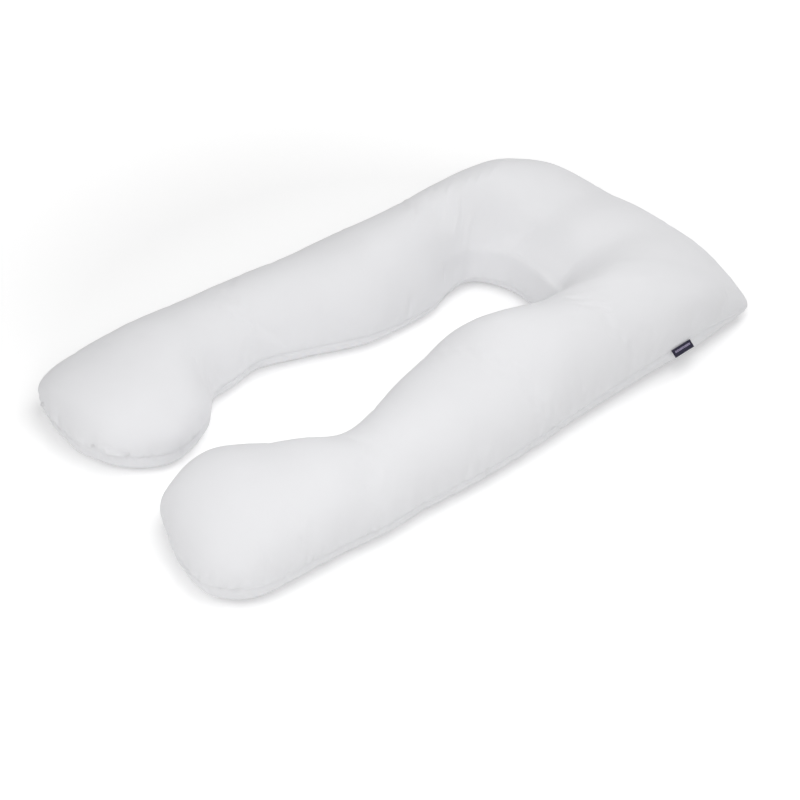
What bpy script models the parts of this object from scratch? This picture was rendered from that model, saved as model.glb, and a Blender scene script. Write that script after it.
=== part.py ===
# A U-shaped body pillow: one filled, sewn body and the woven label caught in its outer seam.
# Metres, +Z up. +Y runs from the two arm ends to the head, and +X is the arm with the label.
# The pillow lies on its lower panel, flat at Z = 0, with the origin under the middle of its outline.

import math
from collections import namedtuple

import bmesh
import bpy
import numpy as np

# Driving sizes
TUCK = 0.050            # how far in from the seam the lower panel meets the surface it lies on
SEAM_LIP = 0.003        # how far the sewn edge stands out over the lower panel
TIP_ROWS = 3            # rows from the seam round an arm's tip to the first cross section
CORNER_ROUND = 0.024    # how far from a corner of the head the seam starts to round it
EDGE_STRIPS = (0.005, 0.013, 0.022, 0.036, 0.054)  # strips beside the seam, measured in from it
EDGE_SHARES = (0.04, 0.10, 0.17, 0.25, 0.35)       # the most of a narrow section's width they take
MIDDLE_STRIPS = 3       # strips between the edge strips
PLEAT_PITCH = 0.040     # spacing of the small pleats that the sewing draws in along the seam
PLEAT_REACH = 0.036     # how far from the seam a pleat runs out
PLEAT_AT_SEAM = 0.4     # part of a pleat's depth that the seam itself is drawn in
CREST_IN = 0.013        # how far in from the seam the wall round the gap folds over
CREST_WIDTH = 0.006
DIP_IN = 0.056          # how far in the shallow dip behind that fold lies
DIP_WIDTH = 0.036
MERGE = 0.0002          # points closer than this become one
LABEL_LENGTH = 0.055
LABEL_HEIGHT = 0.018     # how far the label stands out of the seam
LABEL_THICKNESS = 0.0012
LABEL_GAP = 0.0010      # clear space between the label and the seam it comes out of
LABEL_DROOP = 40        # how far the label hangs down from level, in degrees
LABEL_MIDDLE_Y = 0.456  # where the label's middle stands along the seam
LABEL_SPANS = (8, 3)    # strips along the label and out from the seam

# How the panels are drawn in beside each stretch of the seam.
# seam: height of the seam; inner, outer: roundness of the upper panel's two sides, where
# 0.5 is half an ellipse, less is squarer and more is pinched; pleat: depth of the pleats;
# crest, dip: height of the fold over the gap's wall and depth of the dip behind it;
# pitch: spacing of the cross sections.
Zone = namedtuple("Zone", "seam inner outer pleat crest dip pitch")
ZONES = {
    "end": Zone(0.050, 0.42, 0.45, 0.0045, 0.000, 0.000, 0.012),
    "club": Zone(0.049, 0.42, 0.46, 0.0040, 0.000, 0.000, 0.013),
    "arm": Zone(0.045, 0.42, 0.48, 0.0000, 0.000, 0.000, 0.030),
    "neck": Zone(0.048, 0.42, 0.48, 0.0000, 0.000, 0.000, 0.026),
    "shoulder": Zone(0.057, 0.42, 0.44, 0.0000, 0.000, 0.000, 0.022),
    "cheek": Zone(0.062, 0.42, 0.42, 0.0000, 0.000, 0.002, 0.022),
    "corner": Zone(0.028, 0.46, 0.66, 0.0000, 0.010, 0.010, 0.016),
    "head": Zone(0.032, 0.44, 0.54, 0.0000, 0.012, 0.016, 0.024),
    "left_corner": Zone(0.028, 0.72, 0.66, 0.0000, 0.010, 0.016, 0.016),
    "left_cheek": Zone(0.030, 0.68, 0.42, 0.0000, 0.006, 0.008, 0.022),
    "left_shoulder": Zone(0.034, 0.58, 0.44, 0.0000, 0.000, 0.000, 0.022),
    "left_neck": Zone(0.040, 0.58, 0.48, 0.0000, 0.000, 0.000, 0.026),
    "left_arm": Zone(0.045, 0.58, 0.48, 0.0000, 0.000, 0.000, 0.030),
}

# Cross sections from the tip of the left arm, round the head, to the tip of the right arm.
# Each runs from a point of the inner seam to a point of the outer seam; crown is the height
# of the filling over the seam. The two pointed corners of the head are the "corner" sections.
Section = namedtuple("Section", "zone inner_x inner_y outer_x outer_y crown")
SECTIONS = (
    Section("end", -0.215, -0.706, -0.215, -0.706, 0.000),
    Section("end", -0.160, -0.697, -0.290, -0.699, 0.030),
    Section("end", -0.078, -0.655, -0.360, -0.675, 0.075),
    Section("club", -0.030, -0.565, -0.385, -0.625, 0.095),
    Section("club", -0.065, -0.460, -0.395, -0.560, 0.105),
    Section("left_arm", -0.135, -0.390, -0.390, -0.465, 0.120),
    Section("left_arm", -0.152, -0.320, -0.395, -0.360, 0.110),
    Section("left_arm", -0.166, -0.250, -0.390, -0.260, 0.110),
    Section("left_arm", -0.141, -0.162, -0.375, -0.125, 0.120),
    Section("left_arm", -0.095, -0.032, -0.370, 0.035, 0.130),
    Section("left_neck", -0.090, 0.055, -0.350, 0.180, 0.155),
    Section("left_shoulder", -0.099, 0.163, -0.350, 0.350, 0.165),
    Section("left_cheek", -0.126, 0.232, -0.335, 0.530, 0.185),
    Section("left_corner", -0.130, 0.293, -0.325, 0.695, 0.185),
    Section("head", -0.073, 0.332, -0.125, 0.710, 0.135),
    Section("head", 0.010, 0.338, 0.010, 0.725, 0.140),
    Section("head", 0.075, 0.328, 0.140, 0.730, 0.135),
    Section("corner", 0.115, 0.303, 0.325, 0.695, 0.165),
    Section("cheek", 0.132, 0.245, 0.355, 0.525, 0.145),
    Section("shoulder", 0.122, 0.175, 0.364, 0.345, 0.147),
    Section("neck", 0.090, 0.040, 0.375, 0.170, 0.172),
    Section("arm", 0.100, -0.060, 0.390, 0.025, 0.140),
    Section("arm", 0.130, -0.160, 0.400, -0.115, 0.130),
    Section("arm", 0.170, -0.255, 0.400, -0.265, 0.120),
    Section("arm", 0.180, -0.330, 0.405, -0.370, 0.110),
    Section("arm", 0.145, -0.400, 0.400, -0.465, 0.125),
    Section("club", 0.090, -0.460, 0.400, -0.555, 0.112),
    Section("club", 0.045, -0.560, 0.400, -0.635, 0.115),
    Section("end", 0.086, -0.678, 0.382, -0.700, 0.085),
    Section("end", 0.150, -0.716, 0.322, -0.750, 0.035),
    Section("end", 0.225, -0.743, 0.225, -0.743, 0.000),
)

# Creases of the filled cover: soft troughs, or ridges where the depth is negative.
# x, y, z: middle of the crease; heading: its direction in plan, in degrees from +X;
# climb: its angle to the floor; length, width, depth: half length, half width and depth.
Crease = namedtuple("Crease", "x y z heading climb length width depth")
CREASES = (
    Crease(-0.100, 0.380, 0.130, 38, 12, 0.045, 0.020, 0.005),
    Crease(0.125, 0.370, 0.145, -30, 12, 0.065, 0.034, -0.009),
    Crease(-0.133, 0.216, 0.075, 90, 70, 0.045, 0.011, 0.004),
    Crease(-0.102, 0.096, 0.080, 90, 72, 0.050, 0.012, 0.004),
    Crease(0.300, 0.568, 0.120, 108, -20, 0.110, 0.030, -0.005),
)

COVER = {"color": (0.80, 0.80, 0.81), "roughness": 0.85}
LABEL = {"color": (0.012, 0.016, 0.045), "roughness": 0.70}

Body = namedtuple("Body", "inner outer tips crown seam inner_round outer_round")


def clear_scene():
    for item in list(bpy.data.objects):
        bpy.data.objects.remove(item, do_unlink=True)


def cloth_material(name, color, roughness):
    material = bpy.data.materials.new(name)
    material.use_nodes = True
    shader = material.node_tree.nodes["Principled BSDF"]
    shader.inputs["Base Color"].default_value = (*color, 1.0)
    shader.inputs["Roughness"].default_value = roughness
    shader.inputs["Metallic"].default_value = 0.0
    return material


def running_length(line):
    return np.concatenate([[0.0], np.cumsum(np.linalg.norm(np.diff(line, axis=0), axis=1))])


def steps_between(first, second):
    """Number of cross sections to lay from one section to the next."""
    inner = math.dist((first.inner_x, first.inner_y), (second.inner_x, second.inner_y))
    outer = math.dist((first.outer_x, first.outer_y), (second.outer_x, second.outer_y))
    pitch = min(ZONES[first.zone].pitch, ZONES[second.zone].pitch)
    return max(2, math.ceil(max(inner, outer) / pitch))


def smooth_through(points, before, after, steps):
    """Catmull-Rom curve through points; before and after steer its two ends."""
    held = np.vstack([before, points, after])
    rows = []
    for index, count in enumerate(steps):
        p0, p1, p2, p3 = held[index:index + 4]
        t = (np.arange(count) / count)[:, None]
        rows.append(0.5 * (2 * p1 + (p2 - p0) * t + (2 * p0 - 5 * p1 + 4 * p2 - p3) * t ** 2
                           + (3 * p1 - 3 * p2 + p3 - p0) * t ** 3))
    rows.append(points[-1:])
    return np.vstack(rows)


def rounded(line, corner):
    """A line with its corner, given as a row, rounded off."""
    run = running_length(line)
    run -= run[corner]
    ends = [np.array([np.interp(side, run, line[:, k]) for k in (0, 1)])
            for side in (-CORNER_ROUND, CORNER_ROUND)]
    near = np.abs(run) < CORNER_ROUND
    share = (run[near] / CORNER_ROUND + 1)[:, None] / 2
    moved = line.copy()
    moved[near] = ((1 - share) ** 2 * ends[0] + 2 * share * (1 - share) * line[corner]
                   + share ** 2 * ends[1])
    return moved


def seam_lines(steps):
    """The inner and outer seam in plan. Each arm's tip is one round end shared by both seams,
    and the outer seam turns sharply at the head's two corners."""
    inner = np.array([(s.inner_x, s.inner_y) for s in SECTIONS])
    outer = np.array([(s.outer_x, s.outer_y) for s in SECTIONS])
    inner_line = smooth_through(inner, outer[1], outer[-2], steps)
    corners = [i for i, s in enumerate(SECTIONS) if s.zone.endswith("corner")]
    breaks = [0, *corners, len(SECTIONS) - 1]
    pieces = []
    for start, end in zip(breaks[:-1], breaks[1:]):
        run = outer[start:end + 1]
        before = inner[1] if start == 0 else 2 * run[0] - run[1]
        after = inner[-2] if end == breaks[-1] else 2 * run[-1] - run[-2]
        pieces.append(smooth_through(run, before, after, steps[start:end])[:-1])
    outer_line = np.vstack([*pieces, outer[-1:]])
    for corner in corners:
        outer_line = rounded(outer_line, sum(steps[:corner]))
    both = np.vstack([inner_line, outer_line])
    middle = (both.min(0) + both.max(0)) / 2
    return inner_line - middle, outer_line - middle


def section_values(steps):
    """The crown and the zones' values at every cross section. The crown is smoothed as its
    square, so that it rises from an arm's tip like the end of a bolster."""
    values = np.array([(s.crown ** 2, *ZONES[s.zone][:6]) for s in SECTIONS])
    before, after = values[1].copy(), values[-2].copy()
    before[0], after[0] = -before[0], -after[0]
    smooth = np.clip(smooth_through(values, before, after, steps), 0.0, None)
    smooth[:, 0] = np.sqrt(smooth[:, 0])
    return smooth.T


class Outline:
    """The closed seam line in plan, and what the sewing does along it."""

    def __init__(self, inner, outer, seam, pleat, crest, dip):
        self.points = np.vstack([inner, outer[-2:0:-1]])
        self.sides = np.roll(self.points, -1, axis=0) - self.points
        self.lengths = np.linalg.norm(self.sides, axis=1)
        area = (self.points[:, 0] * self.sides[:, 1] - self.points[:, 1] * self.sides[:, 0]).sum()
        self.turn = math.copysign(1.0, area)
        turns = 2 * math.pi * np.concatenate([[0.0], np.cumsum(self.lengths)]) / PLEAT_PITCH
        wave = 0.5 + 0.5 * np.sin(turns + 1.4 * np.sin(turns / 2.7) + 0.8 * np.sin(turns / 4.3))
        self.seam = self.around(seam, seam)
        self.pleat = self.around(pleat, pleat) * wave ** 2
        self.crest = self.around(crest, crest * 0)
        self.dip = self.around(dip, dip * 0)

    @staticmethod
    def around(on_inner, on_outer):
        """One value for each point, up the inner seam, back down the outer and closed."""
        return np.concatenate([on_inner, on_outer[-2:0:-1], on_inner[:1]])

    def nearest(self, plan):
        """For each plan point: its distance from the seam, the way in and the place there."""
        points = plan.reshape(-1, 2)
        share = ((points[:, None] - self.points) * self.sides).sum(2) / self.lengths ** 2
        share = np.clip(share, 0.0, 1.0)
        gap = points[:, None] - self.points - share[..., None] * self.sides
        far = np.linalg.norm(gap, axis=2)
        side = far.argmin(1)
        pick = (np.arange(len(points)), side)
        normal = np.stack([-self.sides[side, 1], self.sides[side, 0]], axis=1) * self.turn
        inside = far[pick][:, None] > 1e-4
        way_in = np.where(inside, gap[pick], normal)
        way_in /= np.linalg.norm(way_in, axis=1, keepdims=True)
        shape = plan.shape[:2]
        return far[pick].reshape(shape), way_in.reshape(plan.shape), (side + share[pick]).reshape(shape)

    def at(self, values, place):
        return np.interp(place, np.arange(len(values)), values)


def pillow_body():
    """What both panels are drawn from: a row for each cross section, and the outline."""
    steps = [steps_between(a, b) for a, b in zip(SECTIONS[:-1], SECTIONS[1:])]
    inner, outer = seam_lines(steps)
    crown, seam, inner_round, outer_round, pleat, crest, dip = section_values(steps)
    outline = Outline(inner, outer, seam, pleat, crest, dip)
    first = steps[0]
    last = len(inner) - 1 - steps[-1]
    tips = (np.vstack([inner[first:0:-1], outer[:first + 1]]),
            np.vstack([inner[last:-1], outer[:last - 1:-1]]))
    kept = slice(first, last + 1)
    body = Body(inner[kept], outer[kept], tips, crown[kept], seam[kept], inner_round[kept],
                outer_round[kept])
    return body, outline


def shares_across(body):
    """Places of the strips across each section, from 0 at the inner seam to 1 at the outer."""
    width = np.linalg.norm(body.outer - body.inner, axis=1)[:, None]
    edge = np.minimum(np.array(EDGE_STRIPS) / width, EDGE_SHARES)
    middle = np.linspace(0, 1, MIDDLE_STRIPS + 1)[1:-1]
    middle = edge[:, -1:] + middle * (1 - 2 * edge[:, -1:])
    none = np.zeros_like(width)
    return np.hstack([none, edge, middle, 1 - edge[:, ::-1], none + 1])


def capped(grid, rims, power):
    """The cross sections of a grid with the rows that close both tips added. They start on
    the rims, so that a tip needs no pole."""
    share = (np.arange(TIP_ROWS) / TIP_ROWS) ** power
    share = share.reshape(-1, *[1] * (grid.ndim - 1))
    first = rims[0] + (grid[0] - rims[0]) * share
    last = rims[1] + (grid[-1] - rims[1]) * share[::-1]
    return np.concatenate([first, grid, last])


def plan_grid(body, across):
    """Plan points of both panels. The first and the last row follow the seam round a tip."""
    share = across[..., None]
    plan = body.inner[:, None] * (1 - share) + body.outer[:, None] * share
    rims = []
    for row, tip in ((0, body.tips[0]), (-1, body.tips[1])):
        run = running_length(tip)
        places = across[row] * run[-1]
        rims.append(np.stack([np.interp(places, run, tip[:, k]) for k in (0, 1)], axis=1))
    return capped(plan, rims, 2)


def membrane(plan):
    """Height of a film blown up evenly over the plan grid and held down along the seam."""
    rows, columns = plan.shape[:2]
    index = np.arange(rows * columns).reshape(rows, columns)
    a, b, c, d = (index[:-1, :-1], index[1:, :-1], index[1:, 1:], index[:-1, 1:])
    halves = [(a, b, c), (a, c, d), (a, b, d), (b, c, d)]
    corners = np.vstack([np.stack([p.ravel() for p in half], axis=1) for half in halves])
    points = plan.reshape(-1, 2)[corners]
    sides = np.roll(points, -2, axis=1) - np.roll(points, -1, axis=1)
    area = np.abs(sides[:, 0, 0] * sides[:, 1, 1] - sides[:, 0, 1] * sides[:, 1, 0]) / 2
    real = area > 1e-9
    corners, sides, area = corners[real], sides[real], area[real]
    stiffness = np.zeros((rows * columns, rows * columns))
    load = np.zeros(rows * columns)
    for i in range(3):
        np.add.at(load, corners[:, i], area / 3)
        for j in range(3):
            pull = (sides[:, i] * sides[:, j]).sum(1) / (4 * area)
            np.add.at(stiffness, (corners[:, i], corners[:, j]), pull)
    free = index[1:-1, 1:-1].ravel()
    height = np.zeros(rows * columns)
    height[free] = np.linalg.solve(stiffness[np.ix_(free, free)], load[free])
    return height.reshape(rows, columns)


def pleated(panel, outline):
    """A panel with its pleats drawn in beside the seam."""
    gap, way_in, place = outline.nearest(panel[..., :2])
    away = np.hypot(gap, panel[..., 2] - outline.at(outline.seam, place))
    share = np.exp(-(away / PLEAT_REACH) ** 2)
    share *= 1 - (1 - PLEAT_AT_SEAM) * np.exp(-(away / 0.008) ** 2)
    moved = panel.copy()
    moved[..., :2] += (outline.at(outline.pleat, place) * share)[..., None] * way_in
    return moved


def creased(panel):
    """A panel with the CREASES pressed into it along its own normals."""
    normal = np.cross(np.gradient(panel, axis=1), np.gradient(panel, axis=0))
    normal /= np.maximum(np.linalg.norm(normal, axis=2, keepdims=True), 1e-9)
    normal *= math.copysign(1.0, normal[..., 2].mean())
    moved = panel.copy()
    for crease in CREASES:
        heading, climb = math.radians(crease.heading), math.radians(crease.climb)
        run = np.array([math.cos(climb) * math.cos(heading), math.cos(climb) * math.sin(heading),
                        math.sin(climb)])
        offset = panel - (crease.x, crease.y, crease.z)
        lengthwise = offset @ run
        sidewise = (offset ** 2).sum(2) - lengthwise ** 2
        share = np.exp(-(lengthwise / crease.length) ** 2 - sidewise / crease.width ** 2)
        share[:, (0, -1)] = 0.0
        moved -= (crease.depth * share)[..., None] * normal
    return moved


def upper_panel(body, outline, across, plan):
    """Points of the upper panel, swelling over the seam as a filled cover does."""
    film = membrane(plan)[TIP_ROWS:-TIP_ROWS]
    swell = film / film.max(axis=1, keepdims=True)
    blend = across ** 2 * (3 - 2 * across)
    power = body.inner_round[:, None] * (1 - blend) + body.outer_round[:, None] * blend
    height = body.seam[:, None] + body.crown[:, None] * swell ** power
    height = capped(height, (body.seam[0], body.seam[-1]), 1)
    gap, _, place = outline.nearest(plan)
    fold = np.exp(-((gap - CREST_IN) / CREST_WIDTH) ** 2) - math.exp(-(CREST_IN / CREST_WIDTH) ** 2)
    height += outline.at(outline.crest, place) * np.clip(fold, 0.0, None)
    height -= outline.at(outline.dip, place) * np.exp(-((gap - DIP_IN) / DIP_WIDTH) ** 2) * (gap > 0)
    return pleated(creased(np.dstack([plan, height])), outline)


def lower_panel(body, outline, across, plan):
    """Points of the lower panel, which rolls under from the seam and lies flat at Z = 0."""
    gap = outline.nearest(plan)[0]
    rolled = np.clip((gap - SEAM_LIP) / (TUCK - SEAM_LIP), 0.0, 1.0)
    power = np.where(across < 0.5, body.inner_round[:, None], body.outer_round[:, None])
    power = capped(power, (power[0], power[-1]), 1)
    seam = capped(body.seam[:, None], (body.seam[0], body.seam[-1]), 1)
    height = seam * (1 - (1 - (1 - rolled) ** 2) ** power)
    return pleated(np.dstack([plan, height]), outline)


def mesh_object(name, vertices, faces, material, smooth_angle):
    mesh = bpy.data.meshes.new(name)
    mesh.from_pydata([tuple(v) for v in vertices], [], faces)
    work = bmesh.new()
    work.from_mesh(mesh)
    bmesh.ops.remove_doubles(work, verts=work.verts, dist=MERGE)
    bmesh.ops.recalc_face_normals(work, faces=work.faces)
    bmesh.ops.triangulate(work, faces=work.faces)
    work.to_mesh(mesh)
    work.free()
    mesh.shade_smooth()
    mesh.set_sharp_from_angle(angle=smooth_angle)
    mesh.materials.append(material)
    item = bpy.data.objects.new(name, mesh)
    bpy.context.collection.objects.link(item)
    return item


def grid_faces(rows, columns, start=0, flip=False):
    faces = []
    for row in range(rows - 1):
        for column in range(columns - 1):
            a = start + row * columns + column
            face = (a, a + columns, a + columns + 1, a + 1)
            faces.append(face[::-1] if flip else face)
    return faces


def make_pillow(upper, lower):
    rows, columns = upper.shape[:2]
    vertices = np.vstack([upper.reshape(-1, 3), lower.reshape(-1, 3)])
    faces = grid_faces(rows, columns)
    faces += grid_faces(rows, columns, start=rows * columns, flip=True)
    return mesh_object("pillow", vertices, faces, cloth_material("cover", **COVER), math.radians(75))


def label_sheet(seam):
    """Points of the label's underside: rows along the outer seam, columns out from it."""
    beside = seam[(seam[:, 0] > 0) & (seam[:, 1] > 0) & (seam[:, 1] < seam[:, 1].max() - 0.03)]
    beside = beside[np.argsort(beside[:, 1])]
    spans_along, spans_out = LABEL_SPANS
    y = LABEL_MIDDLE_Y + LABEL_LENGTH * (np.arange(spans_along + 1) / spans_along - 0.5)
    root = np.stack([np.interp(y, beside[:, 1], beside[:, k]) for k in range(3)], axis=1)
    run = root[-1] - root[0]
    out = np.array([run[1], -run[0], 0.0]) / math.hypot(run[0], run[1])
    droop = math.radians(LABEL_DROOP)
    way = math.cos(droop) * out - np.array([0.0, 0.0, math.sin(droop)])
    reach = LABEL_GAP + LABEL_HEIGHT * np.arange(spans_out + 1) / spans_out
    return root[:, None] + reach[None, :, None] * way


def make_label(upper):
    """The label stands out of the outer seam and droops, clear of the seam by LABEL_GAP."""
    sheet = label_sheet(upper[:, -1])
    normal = np.cross(np.gradient(sheet, axis=0), np.gradient(sheet, axis=1))
    normal /= np.linalg.norm(normal, axis=2, keepdims=True)
    normal *= math.copysign(1.0, normal[..., 0].mean())
    front = sheet + LABEL_THICKNESS * normal
    rows, columns = sheet.shape[:2]
    count = rows * columns
    faces = grid_faces(rows, columns) + grid_faces(rows, columns, start=count, flip=True)
    rim = [i * columns for i in range(rows)]
    rim += [(rows - 1) * columns + j for j in range(1, columns)]
    rim += [i * columns + columns - 1 for i in range(rows - 2, -1, -1)]
    rim += [j for j in range(columns - 2, 0, -1)]
    for a, b in zip(rim, rim[1:] + rim[:1]):
        faces.append((a, b, b + count, a + count))
    vertices = np.vstack([sheet.reshape(-1, 3), front.reshape(-1, 3)])
    return mesh_object("label", vertices, faces, cloth_material("label", **LABEL), math.radians(30))


def main():
    clear_scene()
    body, outline = pillow_body()
    across = shares_across(body)
    plan = plan_grid(body, across)
    upper = upper_panel(body, outline, across, plan)
    make_pillow(upper, lower_panel(body, outline, across, plan))
    make_label(upper)


main()
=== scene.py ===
import math
from collections import namedtuple

import bmesh
import bpy
import numpy as np
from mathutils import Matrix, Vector, noise


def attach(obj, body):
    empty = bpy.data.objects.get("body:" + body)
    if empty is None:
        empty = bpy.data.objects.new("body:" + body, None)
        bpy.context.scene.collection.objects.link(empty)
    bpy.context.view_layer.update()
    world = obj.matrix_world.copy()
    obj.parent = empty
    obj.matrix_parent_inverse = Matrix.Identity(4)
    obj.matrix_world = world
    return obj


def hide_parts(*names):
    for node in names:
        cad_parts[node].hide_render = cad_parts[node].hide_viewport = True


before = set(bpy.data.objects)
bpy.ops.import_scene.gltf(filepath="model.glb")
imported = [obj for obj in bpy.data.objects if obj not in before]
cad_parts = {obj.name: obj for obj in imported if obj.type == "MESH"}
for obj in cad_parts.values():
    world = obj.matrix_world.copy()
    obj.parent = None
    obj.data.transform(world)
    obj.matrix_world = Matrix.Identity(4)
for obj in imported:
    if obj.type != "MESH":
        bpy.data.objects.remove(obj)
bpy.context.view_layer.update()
scene = bpy.context.scene
print("frame loaded")

# A U-shaped body pillow in metres, +Z up, lying on its lower panel. +Y runs from the two arm ends
# to the head, and +X is the arm with the label.

cover = {
    "tuck": 0.050,            # how far in from the seam the lower panel meets the floor
    "seamLip": 0.003,         # how far the sewn edge stands out over the lower panel
    "tipRows": 6,             # rows from the seam round an arm's tip to the first cross section
    "cornerRound": 0.024,     # how far from a corner of the head the seam starts to round it
    "spans": 64,              # strips across each panel
    "filmSpans": 28,          # strips of the film that gives the panels their swell
    "filmRounds": 1500,       # the most rounds that the film is worked out in
    "fineSpans": 200,         # strips that the height is worked out on
    "edgeCrowding": 0.40,     # how much closer the strips lie beside the seam
    "crestIn": 0.013,         # how far in from the seam the wall round the gap folds over
    "crestWidth": 0.006,
    "dipIn": 0.056,           # how far in the shallow dip behind that fold lies
    "dipWidth": 0.036,
}

# How the panels are drawn in beside each stretch of the seam.
# seam: the seam's height; inner, outer: how soon the upper panel rises beside the inner and the
# outer seam, steeper where smaller; pleat: depth of the sewing's pleats on the outer side;
# innerPleat: on the gap's side; crest, dip: the fold over the gap's wall; pitch: between two rows.
Zone = namedtuple("Zone", "seam inner outer pleat innerPleat crest dip pitch")
zones = {
    "end": Zone(0.050, 0.42, 0.45, 0.0042, 0.0042, 0.000, 0.000, 0.0044),
    "club": Zone(0.049, 0.42, 0.46, 0.0036, 0.0030, 0.000, 0.000, 0.0052),
    "arm": Zone(0.045, 0.42, 0.48, 0.0026, 0.0014, 0.000, 0.000, 0.0066),
    "neck": Zone(0.048, 0.42, 0.48, 0.0016, 0.0016, 0.000, 0.000, 0.0062),
    "shoulder": Zone(0.057, 0.42, 0.44, 0.0014, 0.0018, 0.000, 0.000, 0.0062),
    "cheek": Zone(0.062, 0.42, 0.42, 0.0010, 0.0016, 0.000, 0.002, 0.0060),
    "corner": Zone(0.028, 0.46, 0.66, 0.0006, 0.0010, 0.010, 0.010, 0.0056),
    "head": Zone(0.032, 0.44, 0.54, 0.0012, 0.0010, 0.012, 0.016, 0.0066),
    "leftCorner": Zone(0.028, 0.72, 0.66, 0.0006, 0.0010, 0.010, 0.016, 0.0056),
    "leftCheek": Zone(0.030, 0.68, 0.42, 0.0010, 0.0016, 0.006, 0.008, 0.0060),
    "leftShoulder": Zone(0.034, 0.58, 0.44, 0.0014, 0.0018, 0.000, 0.000, 0.0062),
    "leftNeck": Zone(0.040, 0.58, 0.48, 0.0016, 0.0016, 0.000, 0.000, 0.0062),
    "leftArm": Zone(0.045, 0.58, 0.48, 0.0026, 0.0014, 0.000, 0.000, 0.0066),
}

# Cross sections from the left arm's tip, round the head, to the right arm's tip, each from a
# point of the inner seam to one of the outer seam. crown is the filling's height over the seam.
Section = namedtuple("Section", "zone innerX innerY outerX outerY crown")
sections = [
    Section("end", -0.215, -0.706, -0.215, -0.706, 0.000),
    Section("end", -0.160, -0.697, -0.290, -0.699, 0.030),
    Section("end", -0.078, -0.655, -0.360, -0.675, 0.075),
    Section("club", -0.030, -0.565, -0.385, -0.625, 0.095),
    Section("club", -0.065, -0.460, -0.395, -0.560, 0.105),
    Section("leftArm", -0.135, -0.390, -0.390, -0.465, 0.120),
    Section("leftArm", -0.152, -0.320, -0.395, -0.360, 0.110),
    Section("leftArm", -0.166, -0.250, -0.390, -0.260, 0.110),
    Section("leftArm", -0.141, -0.162, -0.375, -0.125, 0.120),
    Section("leftArm", -0.095, -0.032, -0.370, 0.035, 0.130),
    Section("leftNeck", -0.090, 0.055, -0.350, 0.180, 0.155),
    Section("leftShoulder", -0.099, 0.163, -0.350, 0.350, 0.165),
    Section("leftCheek", -0.126, 0.232, -0.335, 0.530, 0.185),
    Section("leftCorner", -0.130, 0.293, -0.325, 0.695, 0.185),
    Section("head", -0.073, 0.332, -0.125, 0.710, 0.135),
    Section("head", 0.010, 0.338, 0.010, 0.725, 0.140),
    Section("head", 0.075, 0.328, 0.140, 0.730, 0.135),
    Section("corner", 0.115, 0.303, 0.325, 0.695, 0.165),
    Section("cheek", 0.132, 0.245, 0.355, 0.525, 0.145),
    Section("shoulder", 0.122, 0.175, 0.364, 0.345, 0.147),
    Section("neck", 0.090, 0.040, 0.375, 0.170, 0.172),
    Section("arm", 0.100, -0.060, 0.390, 0.025, 0.140),
    Section("arm", 0.130, -0.160, 0.400, -0.115, 0.130),
    Section("arm", 0.170, -0.255, 0.400, -0.265, 0.120),
    Section("arm", 0.180, -0.330, 0.405, -0.370, 0.110),
    Section("arm", 0.145, -0.400, 0.400, -0.465, 0.125),
    Section("club", 0.090, -0.460, 0.400, -0.555, 0.112),
    Section("club", 0.045, -0.560, 0.400, -0.635, 0.115),
    Section("end", 0.086, -0.678, 0.382, -0.700, 0.085),
    Section("end", 0.150, -0.716, 0.322, -0.750, 0.035),
    Section("end", 0.225, -0.743, 0.225, -0.743, 0.000),
]

# Creases of the filled cover: soft troughs, or ridges where the depth is negative.
Crease = namedtuple("Crease", "x y z heading climb length width depth")
creases = [
    Crease(-0.100, 0.380, 0.130, 38, 12, 0.045, 0.020, 0.005),
    Crease(0.125, 0.370, 0.145, -30, 12, 0.065, 0.034, -0.009),
    Crease(-0.133, 0.216, 0.065, 90, 70, 0.040, 0.007, 0.004),
    Crease(-0.102, 0.096, 0.060, 90, 72, 0.040, 0.007, 0.004),
    Crease(0.300, 0.568, 0.120, 108, -20, 0.110, 0.030, -0.005),
]


def runningLength(line):  # metres along a line up to each of its points
    return np.concatenate([[0.0], np.cumsum(np.linalg.norm(np.diff(line, axis=0), axis=1))])


def stepsBetween(first, second):  # rows between two sections, an even number
    inner = math.dist((first.innerX, first.innerY), (second.innerX, second.innerY))
    outer = math.dist((first.outerX, first.outerY), (second.outerX, second.outerY))
    pitch = min(zones[first.zone].pitch, zones[second.zone].pitch)
    return max(4, 2 * math.ceil(max(inner, outer) / pitch / 2))


def smoothThrough(points, before, after, steps):
    # Catmull-Rom curve through points; before and after steer its two ends
    held = np.vstack([before, points, after])
    rows = []
    for index, count in enumerate(steps):
        p0, p1, p2, p3 = held[index:index + 4]
        t = (np.arange(count) / count)[:, None]
        rows.append(0.5 * (2 * p1 + (p2 - p0) * t + (2 * p0 - 5 * p1 + 4 * p2 - p3) * t ** 2
                           + (3 * p1 - 3 * p2 + p3 - p0) * t ** 3))
    rows.append(points[-1:])
    return np.vstack(rows)


def rounded(line, corner):
    # a line with its corner, given as a row, rounded off
    run = runningLength(line)
    run -= run[corner]
    reach = cover["cornerRound"]
    ends = [np.array([np.interp(side, run, line[:, k]) for k in (0, 1)]) for side in (-reach, reach)]
    near = abs(run) < reach
    share = (run[near] / reach + 1)[:, None] / 2
    middle = 2 * share * (1 - share) * line[corner]
    moved = line.copy()
    moved[near] = (1 - share) ** 2 * ends[0] + middle + share ** 2 * ends[1]
    return moved


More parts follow.
